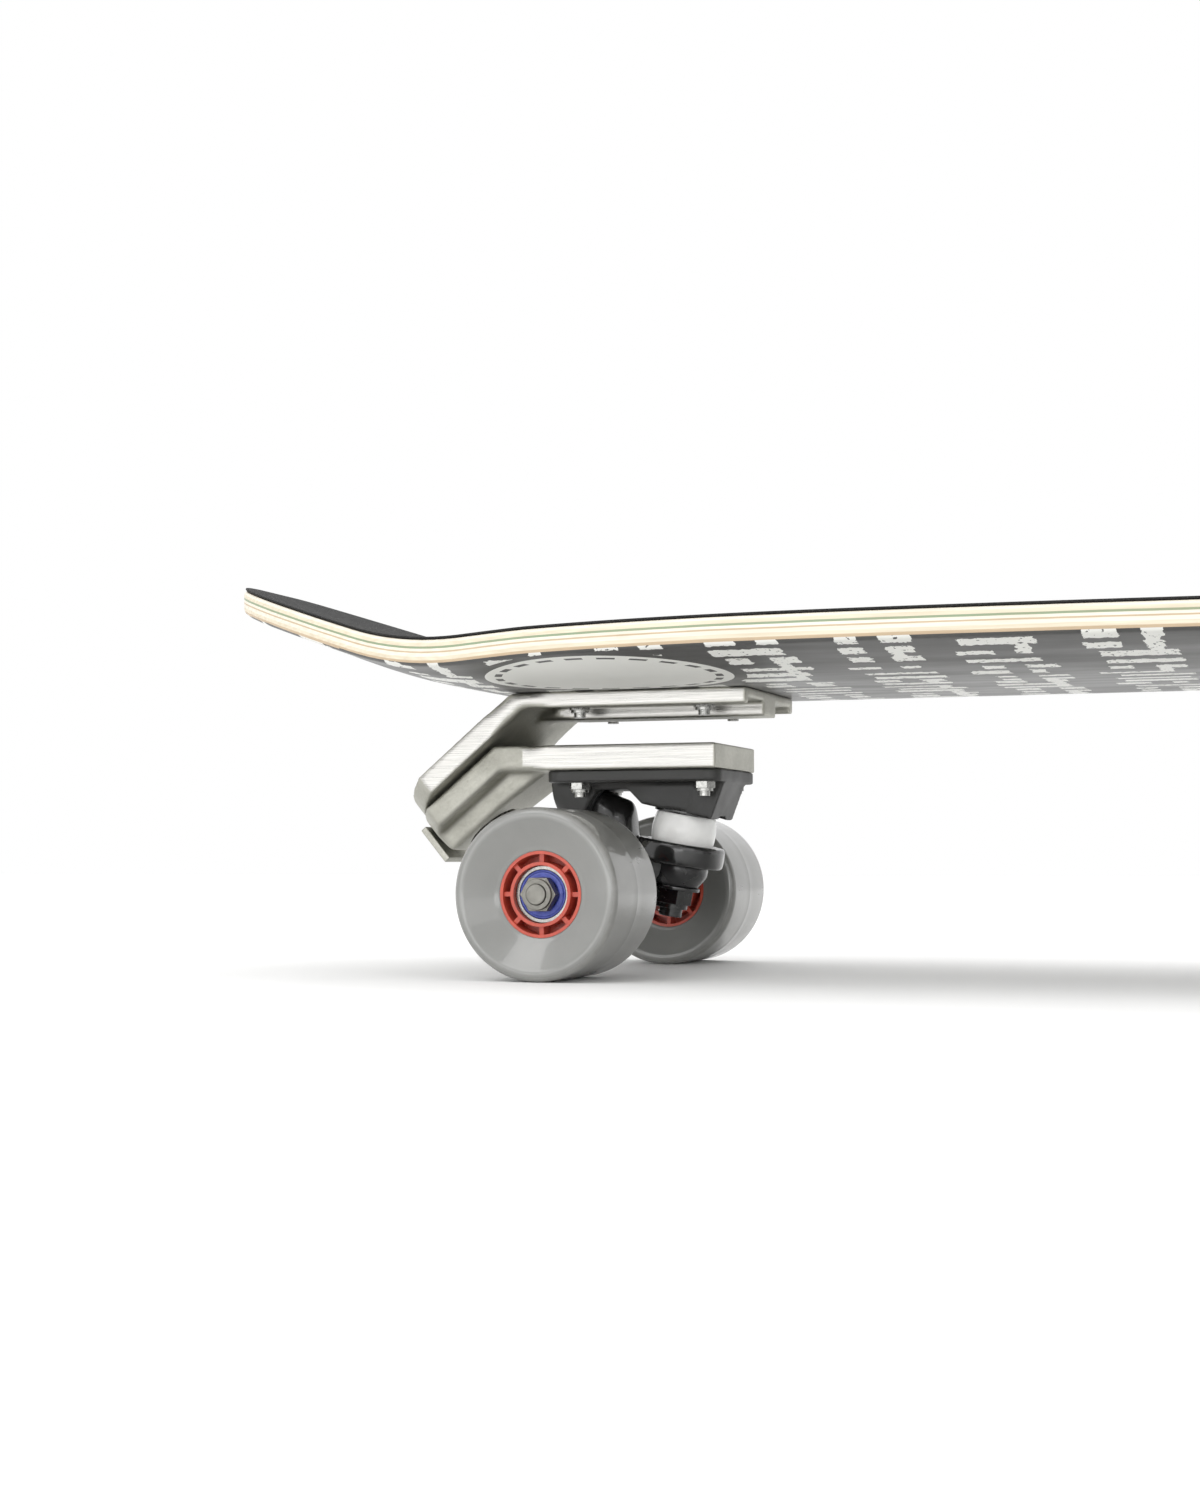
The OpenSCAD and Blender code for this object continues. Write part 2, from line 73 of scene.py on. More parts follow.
DECK_LOW, DECK_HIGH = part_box("deck")
DECK_LENGTH = DECK_HIGH.x - DECK_LOW.x
DECK_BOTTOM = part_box("rear_riser")[1].z
DECK_THICK = 10.5 * MM
GRIP_THICK = 0.8 * MM
DECK_TOP = DECK_BOTTOM + DECK_THICK
FRONT_X = centre("front_deck_nuts").x
REAR_X = centre("rear_nuts").x
BOLT_LONG = 53.98 * MM
BOLT_WIDE = 41.3 * MM
WHEELS = {w: centre(f"wheel_{w}_tyre") for w in ("fl", "fr", "rl", "rr")}
TYRE_LOW, TYRE_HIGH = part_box("wheel_fl_tyre")
WHEEL_R = (TYRE_HIGH.z - TYRE_LOW.z) / 2
WHEEL_HALF = (TYRE_HIGH.y - TYRE_LOW.y) / 2
CORE_LOW, CORE_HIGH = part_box("wheel_fl_core")
CORE_R = (CORE_HIGH.z - CORE_LOW.z) / 2
CORE_HALF = (CORE_HIGH.y - CORE_LOW.y) / 2
BODY_OF = {n: b for b, nodes in frame["record"]["behaviour"]["bodies"].items() for n in nodes}


# ---------------------------------------------------------------- node materials

NOISE_ROUGHNESS = 0.55


class Look:
    """A Principled material with short calls for its textures."""

    def __init__(self, name, color, rough, metal=0.0, **sockets):
        self.mat = bpy.data.materials.new(name)
        self.mat.use_nodes = True
        self.tree = self.mat.node_tree
        self.bsdf = self.tree.nodes["Principled BSDF"]
        self.bsdf.inputs["Base Color"].default_value = (*color, 1)
        self.bsdf.inputs["Roughness"].default_value = rough
        self.bsdf.inputs["Metallic"].default_value = metal
        for key, value in sockets.items():
            self.bsdf.inputs[key.replace("_", " ")].default_value = value
        self.coords = None
        self.normal = None

    def node(self, kind, **values):
        made = self.tree.nodes.new(kind)
        for key, value in values.items():
            setattr(made, key, value)
        return made

    def link(self, out, into):
        self.tree.links.new(out, into)

    def place(self, scale=(1, 1, 1), use="Object"):
        """Texture space in metres, stretched by scale."""
        if self.coords is None:
            self.coords = self.node("ShaderNodeTexCoord")
        mapping = self.node("ShaderNodeMapping")
        mapping.inputs["Scale"].default_value = scale
        self.link(self.coords.outputs[use], mapping.inputs["Vector"])
        return mapping.outputs["Vector"]

    def noise(self, scale, detail=4.0, stretch=(1, 1, 1), use="Object"):
        made = self.node("ShaderNodeTexNoise")
        made.inputs["Scale"].default_value = scale
        made.inputs["Detail"].default_value = detail
        made.inputs["Roughness"].default_value = NOISE_ROUGHNESS
        self.link(self.place(stretch, use), made.inputs["Vector"])
        return made.outputs["Fac"]

    def cells(self, scale):
        made = self.node("ShaderNodeTexVoronoi", feature="F1")
        made.inputs["Scale"].default_value = scale
        self.link(self.place(), made.inputs["Vector"])
        return made.outputs["Distance"]

    def ramp(self, factor, stops, mode="LINEAR"):
        made = self.node("ShaderNodeValToRGB")
        made.color_ramp.interpolation = mode
        marks = made.color_ramp.elements
        while len(marks) < len(stops):
            marks.new(0.5)
        for mark, (spot, color) in zip(marks, stops):
            mark.position = spot
            mark.color = (*color, 1)
        self.link(factor, made.inputs["Fac"])
        return made.outputs["Color"]

    def span(self, factor, low, high, from_low=0.3, from_high=0.7):
        """Maps factor's middle range, where most of a noise lies, to low and high."""
        made = self.node("ShaderNodeMapRange")
        made.inputs["From Min"].default_value = from_low
        made.inputs["From Max"].default_value = from_high
        made.inputs["To Min"].default_value = low
        made.inputs["To Max"].default_value = high
        self.link(factor, made.inputs["Value"])
        return made.outputs["Result"]

    def feed(self, sockets, values):
        """Sets each socket to its number, or links it to its output."""
        for socket, value in zip(sockets, values):
            if isinstance(value, (int, float)):
                socket.default_value = value
            else:
                self.link(value, socket)

    def math(self, operation, *values):
        made = self.node("ShaderNodeMath", operation=operation)
        self.feed(made.inputs, values)
        return made.outputs["Value"]

    def times(self, a, b):
        return self.math("MULTIPLY", a, b)

    def plus(self, a, b):
        return self.math("ADD", a, b)

    def minus(self, a, b):
        return self.math("SUBTRACT", a, b)

    def over(self, a, b):
        """1 where a is greater than b, otherwise 0."""
        return self.math("GREATER_THAN", a, b)

    def under(self, a, b):
        """1 where a is less than b, otherwise 0."""
        return self.math("LESS_THAN", a, b)

    def near(self, value, middle, reach):
        """1 where value is within reach of middle, otherwise 0."""
        return self.under(self.math("ABSOLUTE", self.minus(value, middle)), reach)

    def mix(self, factor, a, b):
        made = self.node("ShaderNodeMix", data_type="RGBA")
        for name, value in (("Factor", factor), ("A", a), ("B", b)):
            socket = [s for s in made.inputs if s.name == name and s.enabled][0]
            if isinstance(value, tuple):
                socket.default_value = (*value, 1)
            else:
                self.link(value, socket)
        return [s for s in made.outputs if s.enabled][0]

    def color(self, out):
        self.link(out, self.bsdf.inputs["Base Color"])
        return self

    def rough(self, out):
        self.link(out, self.bsdf.inputs["Roughness"])
        return self

    def bump(self, height, distance, strength=1.0):
        made = self.node("ShaderNodeBump")
        made.inputs["Distance"].default_value = distance
        made.inputs["Strength"].default_value = strength
        self.link(height, made.inputs["Height"])
        if self.normal is not None:
            self.link(self.normal, made.inputs["Normal"])
        self.normal = made.outputs["Normal"]
        self.link(self.normal, self.bsdf.inputs["Normal"])
        return self

    def chance(self, x, y, z=0.0):
        """A fixed random number from 0 to 1 for each set of three whole numbers."""
        joined = self.node("ShaderNodeCombineXYZ")
        self.feed(joined.inputs, (x, y, z))
        made = self.node("ShaderNodeTexWhiteNoise", noise_dimensions="3D")
        self.link(joined.outputs["Vector"], made.inputs["Vector"])
        return made.outputs["Value"]

    def attribute(self, name):
        made = self.node("ShaderNodeAttribute", attribute_name=name)
        return made.outputs["Fac"]

    def map_axes(self):
        """The mesh's own map, as its two axes."""
        split = self.node("ShaderNodeSeparateXYZ")
        self.link(self.place(use="UV"), split.inputs[0])
        return split.outputs["X"], split.outputs["Y"]


def cast_alloy():
    """Fine shot-blasted casting, with its flat sides milled bright along the board."""
    look = Look("cast_alloy", (0.50, 0.49, 0.46), 0.4, 1.0)
    milled = look.attribute("milled")
    grain = look.noise(900, 5)
    patches = look.noise(45, 5)
    streaks = look.noise(50, 6, stretch=(1, 1, 60))
    cast = look.ramp(patches, [(0.3, (0.36, 0.355, 0.315)), (0.7, (0.51, 0.505, 0.455))])
    bright = look.ramp(streaks, [(0.35, (0.36, 0.355, 0.34)), (0.65, (0.62, 0.61, 0.585))])
    look.color(look.mix(milled, cast, bright))
    rough_cast = look.span(grain, 0.40, 0.58)
    rough_milled = look.span(streaks, 0.24, 0.38)
    unmilled = look.minus(1.0, milled)
    look.rough(look.plus(look.times(rough_cast, unmilled), look.times(rough_milled, milled)))
    look.bump(look.times(grain, unmilled), 0.00014, 0.8)
    look.bump(look.times(streaks, milled), 0.00003, 0.5)
    return look


def gloss_black():
    """Thick gloss enamel on a casting, with faint orange peel, dust and rubbed spots."""
    look = Look("gloss_black", (0.012, 0.012, 0.012), 0.2, Coat_Weight=0.6, Coat_Roughness=0.08)
    dust = look.noise(45, 6)
    look.color(look.ramp(dust, [(0.35, (0.010, 0.010, 0.010)), (0.75, (0.030, 0.029, 0.027))]))
    look.rough(look.span(dust, 0.16, 0.34))
    look.bump(look.noise(260, 2), 0.00010, 0.35)
    return look


def satin_grey():
    """Satin powder coat in dark grey."""
    look = Look("satin_grey", (0.05, 0.05, 0.048), 0.45)
    patches = look.noise(70, 5)
    look.color(look.ramp(patches, [(0.3, (0.020, 0.020, 0.019)), (0.7, (0.034, 0.034, 0.032))]))
    look.rough(look.span(patches, 0.36, 0.52))
    look.bump(look.noise(1100, 3), 0.00006, 0.6)
    return look


def plated(name, tone, rough, streak=(1, 1, 1)):
    """Plated or bare steel with fine turning marks and slight staining."""
    look = Look(name, tone, rough, 1.0)
    stain = look.noise(160, 5)
    dark = tuple(c * 0.78 for c in tone)
    look.color(look.ramp(stain, [(0.3, dark), (0.7, tone)]))
    look.rough(look.span(look.noise(700, 4, stretch=streak), rough * 0.75, rough * 1.35))
    look.bump(look.noise(1500, 3, stretch=streak), 0.00002, 0.5)
    return look


def wheel_urethane():
    """Warm grey cast urethane: glossy sides, a lightly scuffed and dusty tread."""
    look = Look("wheel_urethane", (0.24, 0.24, 0.228), 0.25, Subsurface_Weight=0.10,
                Subsurface_Scale=0.003, Coat_Weight=0.7, Coat_Roughness=0.05)
    look.bsdf.inputs["Subsurface Radius"].default_value = (1.0, 0.9, 0.8)
    tread = look.attribute("tread")
    cloud = look.noise(35, 5)
    scuff = look.noise(150, 6, stretch=(1, 0.3, 1))
    side = look.ramp(cloud, [(0.3, (0.212, 0.215, 0.205)), (0.7, (0.245, 0.247, 0.236))])
    worn = look.ramp(scuff, [(0.35, (0.180, 0.179, 0.169)), (0.7, (0.232, 0.231, 0.218))])
    look.color(look.mix(tread, side, worn))
    duller = look.times(look.span(scuff, 0.06, 0.20), tread)
    look.rough(look.plus(look.span(cloud, 0.18, 0.25), duller))
    look.bump(look.times(scuff, tread), 0.00006, 0.5)
    look.bump(look.noise(500, 3), 0.00002, 0.4)
    return look


def core_plastic():
    """Coral red moulded plastic."""
    look = Look("core_red", (0.50, 0.075, 0.055), 0.35, Subsurface_Weight=0.08,
                Subsurface_Scale=0.002)
    cloud = look.noise(220, 4)
    look.color(look.ramp(cloud, [(0.3, (0.43, 0.056, 0.034)), (0.7, (0.55, 0.090, 0.055))]))
    look.rough(look.span(cloud, 0.28, 0.42))
    look.bump(look.noise(1600, 3), 0.00003, 0.5)
    return look


def shield_paint():
    """Blue lacquer on a bearing's pressed shield."""
    look = Look("shield_blue", (0.07, 0.08, 0.32), 0.32, 0.25, Coat_Weight=0.3, Coat_Roughness=0.15)
    cloud = look.noise(400, 4)
    look.color(look.ramp(cloud, [(0.3, (0.032, 0.050, 0.27)), (0.7, (0.062, 0.085, 0.40))]))
    look.rough(look.span(cloud, 0.26, 0.40))
    look.bump(look.noise(1400, 2), 0.00002, 0.4)
    return look


def moulded(name, tone, rough, grain=900, depth=0.00004, **sockets):
    """Plain moulded rubber or urethane with a faint skin texture."""
    look = Look(name, tone, rough, **sockets)
    cloud = look.noise(120, 4)
    dark = tuple(c * 0.85 for c in tone)
    look.color(look.ramp(cloud, [(0.3, dark), (0.7, tone)]))
    look.rough(look.span(cloud, rough * 0.85, rough * 1.2))
    look.bump(look.noise(grain, 3), depth, 0.5)
    return look


def grip():
    """Black abrasive sheet: crushed grains in a matt binder, with pale dust in places."""
    look = Look("grip_tape", (0.014, 0.014, 0.014), 0.95)
    grains = look.cells(1700)
    glint = look.noise(1900, 2)
    dust = look.noise(14, 6)
    base = look.ramp(grains, [(0.1, (0.035, 0.035, 0.035)), (0.6, (0.008, 0.008, 0.008))])
    dusty = look.ramp(dust, [(0.45, (0.0, 0.0, 0.0)), (0.8, (0.35, 0.35, 0.35))])
    look.color(look.mix(dusty, base, (0.07, 0.068, 0.062)))
    look.rough(look.ramp(glint, [(0.60, (0.95, 0.95, 0.95)), (0.68, (0.35, 0.35, 0.35))]))
    look.bump(grains, 0.0003, 1.0)
    return look


def ply_edge():
    """Pressed maple veneers: the map's height runs through the plies from bottom to top."""
    look = Look("ply_edge", (0.72, 0.58, 0.38), 0.45, Coat_Weight=0.15, Coat_Roughness=0.3)
    height = look.map_axes()[1]
    wave = look.noise(30, 3, stretch=(1, 0, 0), use="UV")
    level = look.plus(height, look.times(look.minus(wave, 0.5), 0.03))
    cream, pale, tan = (0.76, 0.69, 0.54), (0.84, 0.80, 0.69), (0.56, 0.43, 0.29)
    green, dark = (0.24, 0.33, 0.21), (0.05, 0.035, 0.025)
    layers = [(0.0, dark), (0.04, tan), (0.17, cream), (0.30, pale), (0.44, tan),
              (0.50, pale), (0.60, green), (0.68, cream), (0.82, pale), (0.95, dark)]
    plies = look.ramp(level, layers, "CONSTANT")
    grain = look.noise(900, 6, stretch=(0.03, 1, 1))
    look.color(look.mix(look.span(grain, 0.0, 0.32), plies, (0.36, 0.26, 0.15)))
    look.rough(look.span(grain, 0.38, 0.55))
    look.bump(grain, 0.00008, 0.5)
    return look


# The print on the underside: columns of bars across the board, and an oval beside the front plate
COLUMN_PITCH = 45 * MM
BAR_PITCH = 12.5 * MM
PRINT_SHAKE = 4.2 * MM
INK_START, INK_END, INK_SHIFT = 0.10, 0.70, 0.16
OVAL_X, OVAL_Y = FRONT_X - 4 * MM, 72 * MM
OVAL_LONG, OVAL_WIDE = 50 * MM, 34 * MM
OVAL_DASHES = 22


def printed_bars(look, along, across):
    """Columns of rough bars. Their height, shift, gaps and stems differ from bar to bar."""
    column = look.math("DIVIDE", along, COLUMN_PITCH)
    column_id = look.math("FLOOR", column)
    in_column = look.math("FRACT", column)
    row = look.plus(look.math("DIVIDE", across, BAR_PITCH), look.chance(column_id, 3.7))
    row_id = look.math("FLOOR", row)
    height = look.span(look.chance(row_id, column_id), 0.30, 0.78, 0, 1)
    bar = look.under(look.math("FRACT", row), height)
    shift = look.times(look.chance(column_id, row_id, 5.1), INK_SHIFT)
    inked = look.times(look.over(in_column, look.plus(shift, INK_START)),
                       look.under(in_column, look.plus(shift, INK_END)))
    gap = look.times(look.over(look.chance(row_id, column_id, 9.3), 0.58),
                     look.near(in_column, 0.46, 0.09))
    stem = look.times(look.near(in_column, 0.30, 0.055),
                      look.over(look.chance(row_id, column_id, 2.2), 0.62))
    return look.times(inked, look.math("MAXIMUM", look.minus(bar, gap), stem))


def printed_oval(look, x, y):
    """A plain oval with a dashed border, and how far a point is from its middle (1 at its rim)."""
    away_x = look.math("DIVIDE", look.minus(x, OVAL_X), OVAL_LONG)
    away_y = look.math("DIVIDE", look.minus(y, OVAL_Y), OVAL_WIDE)
    far = look.math("SQRT", look.plus(look.times(away_x, away_x), look.times(away_y, away_y)))
    turn = look.math("ARCTAN2", away_y, away_x)
    dash = look.over(look.math("SINE", look.times(turn, OVAL_DASHES)), -0.2)
    ring = look.times(look.over(far, 0.86), look.under(far, 0.92))
    return look.minus(look.under(far, 1.0), look.times(ring, dash)), far


def underside_film():
    """Glossy charcoal film with an abstract off-white print."""
    look = Look("underside_film", (0.07, 0.07, 0.068), 0.40, Coat_Weight=0.12, Coat_Roughness=0.2)
    x, y = look.map_axes()
    shake = look.times(look.minus(look.noise(330, 5, use="UV"), 0.5), PRINT_SHAKE)
    bars = printed_bars(look, look.plus(x, shake), look.plus(y, shake))
    oval, far = printed_oval(look, x, y)
    worn = look.under(look.noise(420, 6, use="UV"), 0.62)
    bars = look.times(look.times(bars, look.over(far, 1.10)), worn)
    cloud = look.noise(18, 4, use="UV")
    film = look.ramp(cloud, [(0.3, (0.050, 0.050, 0.048)), (0.7, (0.078, 0.077, 0.074))])
    look.color(look.mix(look.math("MAXIMUM", bars, oval), film, (0.78, 0.78, 0.74)))
    look.rough(look.span(look.noise(90, 6, stretch=(0.15, 1, 1)), 0.34, 0.52))
    look.bump(look.noise(300, 5, stretch=(0.1, 1, 1)), 0.00003, 0.5)
    return look


def floor_paper():
    """Matt white paper, a little uneven."""
    look = Look("floor_paper", (0.86, 0.86, 0.855), 0.75)
    cloud = look.noise(6, 3)
    look.color(look.ramp(cloud, [(0.3, (0.84, 0.84, 0.835)), (0.7, (0.88, 0.88, 0.875))]))
    return look


LOOKS = {
    "cast_alloy": cast_alloy(),
    "black_paint": gloss_black(),
    "grey_paint": satin_grey(),
    "zinc": plated("zinc_steel", (0.38, 0.38, 0.365), 0.24),
    "dark_steel": plated("dull_steel", (0.22, 0.215, 0.195), 0.36),
    "race_steel": plated("race_steel", (0.36, 0.355, 0.34), 0.26),
    "black_zinc": plated("black_zinc", (0.085, 0.085, 0.085), 0.22),
    "black_rubber": moulded("black_rubber", (0.022, 0.022, 0.022), 0.6),
    "white_urethane": moulded("white_urethane", (0.98, 0.98, 0.96), 0.20, 600, 0.00003,
                              Coat_Weight=0.3),
    "black_urethane": moulded("black_urethane", (0.022, 0.022, 0.023), 0.25, 600, 0.00003,
                              Coat_Weight=0.2),
    "wheel_urethane": wheel_urethane(),
    "core_red": core_plastic(),
    "shield_blue": shield_paint(),
    "riser": moulded("riser_plastic", (0.030, 0.030, 0.030), 0.5, 1200, 0.00006),
    "grip": grip(),
    "wood": ply_edge(),
}
FILM = underside_film()


# ---------------------------------------------------------------- mesh helpers

THREAD_ROWS = 6
THREAD_PROUD = 0.06


def add_object(name, mesh):
    made = bpy.data.objects.new(name, mesh)
    bpy.context.scene.collection.objects.link(made)
    return made


def from_points(name, points, faces):
    mesh = bpy.data.meshes.new(name)
    mesh.from_pydata([tuple(p) for p in points], [], [tuple(f) for f in faces])
    mesh.validate()
    mesh.update()
    return add_object(name, mesh)


def soften(obj, sharp_angle=35):
    """Smooth shading, with edges above sharp_angle degrees kept sharp."""
    mesh = obj.data
    if "custom_normal" in mesh.attributes:
        mesh.attributes.remove(mesh.attributes["custom_normal"])
    mesh.shade_smooth()
    mesh.set_sharp_from_angle(angle=math.radians(sharp_angle))
    return obj


def dress(obj, body, slot, *nodes):
    """The piece's material, body, slot and the CAD nodes that it stands for."""
    obj.data.materials.clear()
    obj.data.materials.append(LOOKS[slot].mat)
    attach(obj, body)
    if nodes:
        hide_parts(*nodes)
    return obj


def eased(node, width, segments=2, angle=28):
    """A copy of a CAD node, its edges sharper than angle degrees rounded by width millimetres."""
    mesh = frame["nodes"][node].data.copy()
    mesh.materials.clear()
    obj = add_object(node + "_eased", mesh)
    bm = bmesh.new()
    bm.from_mesh(mesh)
    bmesh.ops.remove_doubles(bm, verts=bm.verts, dist=0.003 * MM)
    bmesh.ops.dissolve_limit(bm, angle_limit=math.radians(0.6), verts=bm.verts, edges=bm.edges)
    bmesh.ops.dissolve_degenerate(bm, dist=0.002 * MM, edges=bm.edges)
    limit = math.radians(angle)
    hard = [e for e in bm.edges if len(e.link_faces) == 2 and e.calc_face_angle(0) > limit]
    bmesh.ops.bevel(bm, geom=hard, offset=width * MM, offset_type="OFFSET", segments=segments,
                    profile=0.5, affect="EDGES", clamp_overlap=True)
    bm.to_mesh(mesh)
    bm.free()
    soften(obj, 40)
    weigh = obj.modifiers.new("even_normals", "WEIGHTED_NORMAL")
    weigh.keep_sharp = True
    return dress(obj, BODY_OF[node], SLOT_OF[node], node)


def applied(obj):
    """Bakes the object's modifiers into its mesh."""
    bpy.context.view_layer.update()
    shown = obj.evaluated_get(bpy.context.evaluated_depsgraph_get())
    mesh = bpy.data.meshes.new_from_object(shown)
    obj.modifiers.clear()
    obj.data = mesh
    return obj


def frame_to(origin, direction):
    """A matrix whose +Z is direction, at origin."""
    z = Vector(direction).normalized()
    x = Vector((0, 1, 0)) if abs(z.y) < 0.9 else Vector((1, 0, 0))
    x = (x - z * x.dot(z)).normalized()
    y = z.cross(x)
    turn = Matrix((x, y, z)).transposed().to_4x4()
    return Matrix.Translation(origin) @ turn


def lathe(name, profile, matrix, segments):
    """Turns a closed profile of (radius, height) in millimetres about matrix's +Z."""
    count = len(profile)
    angles = [2 * math.pi * k / segments for k in range(segments)]
    points = [matrix @ Vector((r * MM * math.cos(a), r * MM * math.sin(a), h * MM))
              for a in angles for r, h in profile]
    faces = []
    for k in range(segments):
        here, there = k * count, (k + 1) % segments * count
        for i in range(count):
            j = (i + 1) % count
            faces.append((here + i, here + j, there + j, there + i))
    obj = from_points(name, points, faces)
    bm = bmesh.new()
    bm.from_mesh(obj.data)
    bmesh.ops.remove_doubles(bm, verts=bm.verts, dist=0.0005 * MM)
    bmesh.ops.recalc_face_normals(bm, faces=bm.faces)
    bm.to_mesh(obj.data)
    bm.free()
    return soften(obj)


def arc(cx, cy, radius, start, stop, steps):
    """Points of an arc in a profile, angles in degrees from the radius axis."""
    return [(cx + radius * math.cos(math.radians(start + (stop - start) * k / steps)),
             cy + radius * math.sin(math.radians(start + (stop - start) * k / steps)))
            for k in range(steps + 1)]


def thread(name, matrix, radius, length, pitch, body, slot):
    """A helical thread on a shaft, in millimetres: proud at its crests, and inside at its roots."""
    segments, rows = 40, int(length / pitch * THREAD_ROWS)
    depth = 0.22 * pitch
    points, faces = [], []
    for row in range(rows + 1):
        h = length * row / rows
        for k in range(segments):
            phase = (h / pitch - k / segments) % 1
            ridge = 1 - abs(2 * phase - 1)
            fade = min(1, 4 * h / length, 4 * (length - h) / length)
            r = radius - depth + (depth + THREAD_PROUD) * ridge * fade
            a = 2 * math.pi * k / segments
            points.append(matrix @ Vector((r * MM * math.cos(a), r * MM * math.sin(a), h * MM)))
    for row in range(rows):
        for k in range(segments):
            a, b = row * segments + k, row * segments + (k + 1) % segments
            faces.append((a, b, b + segments, a + segments))
    faces.append(tuple(range(segments))[::-1])
    faces.append(tuple(rows * segments + k for k in range(segments)))
    return dress(soften(from_points(name, points, faces), 60), body, slot)


# ---------------------------------------------------------------- deck and grip tape

KICK_START = 45 * MM
KICK_RADIUS = 150 * MM
KICK_ANGLE = math.radians(20)
CONCAVE = 9 * MM
FLAT_HALF = 36 * MM
EDGE_ROUND = 2.6 * MM
HALF_LENGTH = DECK_LENGTH / 2
HALF_WIDTH = 115 * MM
WAIST = 0.05
WAIST_LENGTH = 0.3
OUTLINE_POWER = 2.2
NOSE_REACH, NOSE_POWER = 0.275, 0.345
TAIL_REACH, TAIL_POWER = 0.235, 0.36
FADE_START, FADE_LENGTH, FADE_BY = 0.245, 0.16, 0.7
HEAD_HOLE = 4.9 * MM

# Stations of the deck's grids: millimetres in from each tip, and shares in from each side
NEAR_TIP = (0, 0.12, 0.3, 0.6, 1.0, 1.5, 2.1, 2.8, 3.8, 5.5, 8, 11, 15, 20)
NEAR_SIDE = (0, 0.0012, 0.003, 0.006, 0.010, 0.015, 0.0215, 0.03, 0.045, 0.07)
MIDDLE_START = 26 * MM


def clamp01(v):
    return np.clip(v, 0, 1)


def end_shape(d, span, power):
    """The outline's width, as a share, at a distance d from its tip."""
    return (1 - (1 - clamp01(np.maximum(d, 0.5 * MM) / span)) ** OUTLINE_POWER) ** power


def half_width(x):
    """Half of the outline's width at x: a wide nose, a slight waist and a narrower tail."""
    behind_nose = clamp01((HALF_LENGTH - NOSE_REACH - x) / WAIST_LENGTH)
    waist = 1 - WAIST * (1 - np.cos(np.pi * behind_nose)) / 2
    nose = end_shape(HALF_LENGTH - x, NOSE_REACH, NOSE_POWER)
    tail = end_shape(HALF_LENGTH + x, TAIL_REACH, TAIL_POWER)
    return HALF_WIDTH * waist * nose * tail


def kick_rise(d):
    """How far a kick has risen at a distance d past its start."""
    bend = KICK_RADIUS * math.sin(KICK_ANGLE)
    near = KICK_RADIUS - np.sqrt(np.maximum(KICK_RADIUS ** 2 - np.clip(d, 0, bend) ** 2, 0))
    return near + np.maximum(d - bend, 0) * math.tan(KICK_ANGLE)


def surface_rise(x, y):
    """How far the kicks and the rails lift the board above its flat middle."""
    fade = 1 - FADE_BY * clamp01((np.abs(x) - FADE_START) / FADE_LENGTH)
    dish = CONCAVE * fade * (np.maximum(0, np.abs(y) - FLAT_HALF) / (HALF_WIDTH - FLAT_HALF)) ** 2
    return kick_rise(x - FRONT_X - KICK_START) + kick_rise(REAR_X - KICK_START - x) + dish


def board_sheet(name, z_low, z_high, inset, rounding):
    """A closed sheet on the deck's curves: a top and a bottom grid, joined by its edge wall."""
    middle = np.linspace(-HALF_LENGTH + MIDDLE_START, HALF_LENGTH - MIDDLE_START, 150)
    tip = HALF_LENGTH - inset
    xs = np.concatenate([[-tip + d * MM for d in NEAR_TIP], middle,
                         [tip - d * MM for d in NEAR_TIP[::-1]]])
    half_v = np.concatenate([np.linspace(0, 0.9, 16), [1 - s for s in NEAR_SIDE[::-1]]])
    v = np.concatenate([-half_v[:0:-1], half_v])
    outward = np.clip(np.abs(xs) + inset * 0.2, 0, HALF_LENGTH) * np.sign(xs)
    widths = half_width(outward) - inset
    slope = np.gradient(half_width(xs), xs)
    across, stations = len(v), len(xs)
    X = np.repeat(xs[:, None], across, 1)
    Y = widths[:, None] * v[None, :]
    to_side = (widths[:, None] - np.abs(Y)) / np.sqrt(1 + slope[:, None] ** 2)
    to_tip = np.repeat((tip - np.abs(xs))[:, None], across, 1)
    edge = np.minimum(to_side, to_tip)
    short = np.clip(rounding - edge, 0, rounding)
    drop = rounding - np.sqrt(np.maximum(rounding ** 2 - short ** 2, 0))
    rise = surface_rise(X, Y)
    low, high = z_low + rise + drop, z_high + rise - drop
    points = np.concatenate([np.stack([X, Y, z], 2).reshape(-1, 3) for z in (low, high)])
    base = stations * across
    index = np.arange(base).reshape(stations, across)
    a, b, c, d = index[:-1, :-1], index[1:, :-1], index[1:, 1:], index[:-1, 1:]
    under = np.stack([a, d, c, b], 2).reshape(-1, 4)
    upper = np.stack([a, b, c, d], 2).reshape(-1, 4) + base
    rim = np.concatenate([index[:, 0], index[-1, 1:], index[-2::-1, -1], index[0, -2:0:-1]])
    after = np.roll(rim, -1)
    wall = np.stack([rim, after, after + base, rim + base], 1)
    return from_points(name, points, np.concatenate([under, upper, wall]).tolist())


def bolt_cutters(z_low, z_high):
    """Eight plain cylinders where the deck bolts' heads sit, joined in one cutter."""
    bm = bmesh.new()
    for x in (FRONT_X, REAR_X):
        for sx in (-1, 1):
            for sy in (-1, 1):
                middle = (z_low + z_high) / 2
                spot = Vector((x + sx * BOLT_LONG / 2, sy * BOLT_WIDE / 2, middle))
                bmesh.ops.create_cone(bm, cap_ends=True, segments=48, radius1=HEAD_HOLE,
                                      radius2=HEAD_HOLE, depth=z_high - z_low,
                                      matrix=Matrix.Translation(spot))
    mesh = bpy.data.meshes.new("bolt_cutter")
    bm.to_mesh(mesh)
    bm.free()
    return add_object("bolt_cutter", mesh)


